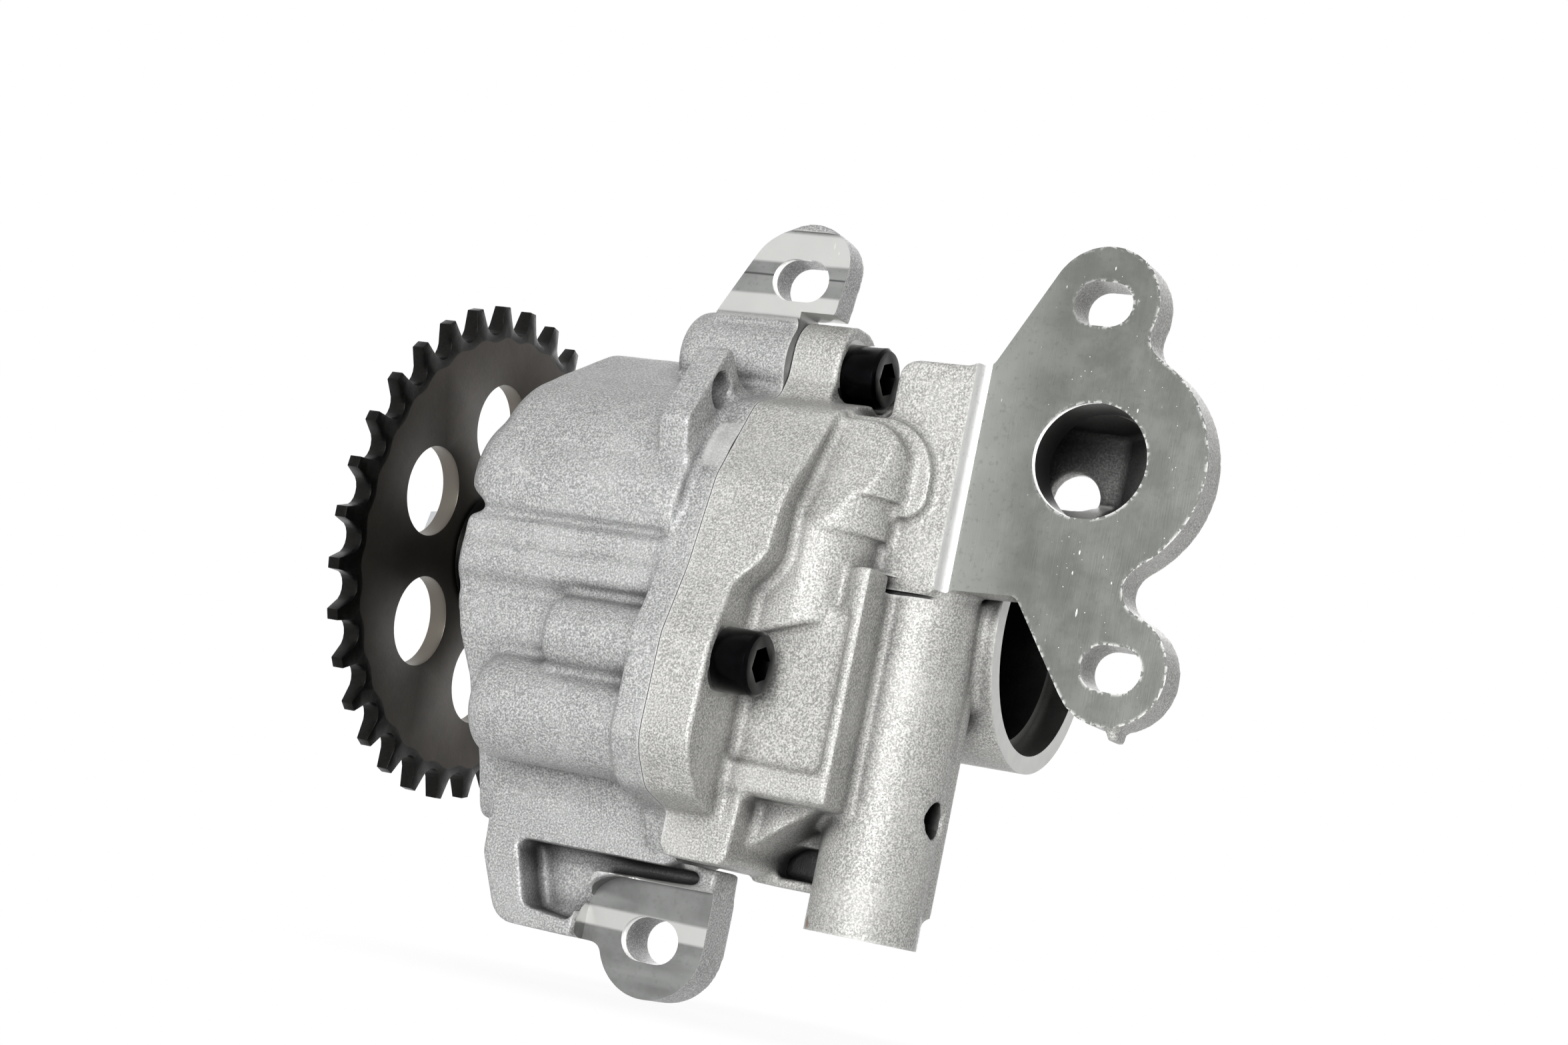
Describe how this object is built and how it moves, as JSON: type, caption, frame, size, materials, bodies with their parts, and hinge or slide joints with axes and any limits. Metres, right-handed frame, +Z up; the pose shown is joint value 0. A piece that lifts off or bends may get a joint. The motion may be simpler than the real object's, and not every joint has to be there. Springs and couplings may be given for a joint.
{
  "type": "engine oil pump",
  "caption": "Chain driven external gear oil pump: cast case and cover, toothed sprocket, slotted outlet flange, suction spigot and a spring loaded relief valve in a side tube",
  "frame": {"origin": "centre of the outlet port, on the face that seals against the engine", "axes": "+X along the drive shaft from the sprocket to the suction spigot, -Y out of the mounting face towards the engine, +Z up towards the upper fixing slots"},
  "size_m": [0.1427, 0.0865, 0.1265],
  "materials": {
    "cast_aluminium": "blasted die casting, fine bright grain",
    "oiled_steel": "blackened, ground disc face",
    "zinc_steel": "zinc plated, satin",
    "ground_steel": "ground",
    "sintered_steel": "matt sintered steel",
    "bronze": "plain bearing bronze",
    "black_oxide": "black oxide, oiled",
    "spring_steel": "drawn wire"
  },
  "bodies": {
    "casing": {"pump_housing": "cast_aluminium", "pump_cover": "cast_aluminium", "outlet_flange": "cast_aluminium", "suction_spigot": "cast_aluminium", "front_bush": "bronze", "rear_bush": "bronze", "idler_shaft": "ground_steel", "dowel_sleeves": "ground_steel", "upper_cover_screw": "black_oxide", "lower_cover_screw": "black_oxide", "rear_cover_screws": "black_oxide", "relief_cap": "ground_steel", "relief_circlip": "spring_steel", "relief_spring": "spring_steel"},
    "drive_rotor": {"sprocket": "oiled_steel", "sprocket_bolt": "zinc_steel", "sprocket_washer": "zinc_steel", "drive_shaft": "ground_steel", "drive_gear": "sintered_steel", "drive_gear_key": "ground_steel"},
    "idler_rotor": {"idler_gear": "sintered_steel", "idler_bush": "bronze"},
    "relief_valve": {"relief_piston": "ground_steel"}
  },
  "joints": [
    {"name": "drive_spin", "type": "hinge", "parent": "casing", "child": "drive_rotor", "pos_m": [-0.0873, 0.02, -0.0252], "axis": [1, 0, 0], "continuous": true},
    {"name": "idler_spin", "type": "hinge", "parent": "casing", "child": "idler_rotor", "pos_m": [-0.0873, -0.00119, -0.01393], "axis": [1, 0, 0], "continuous": true},
    {"name": "relief_slide", "type": "slide", "parent": "casing", "child": "relief_valve", "axis": [0, 0, -1], "range_m": [0, 0.008], "stiffness_N_per_m": 1800, "springref_m": -0.004, "deforming": ["relief_spring"]}
  ],
  "couplings": [
    {"joint": "idler_spin", "follows": "drive_spin", "ratio": -1}
  ]
}
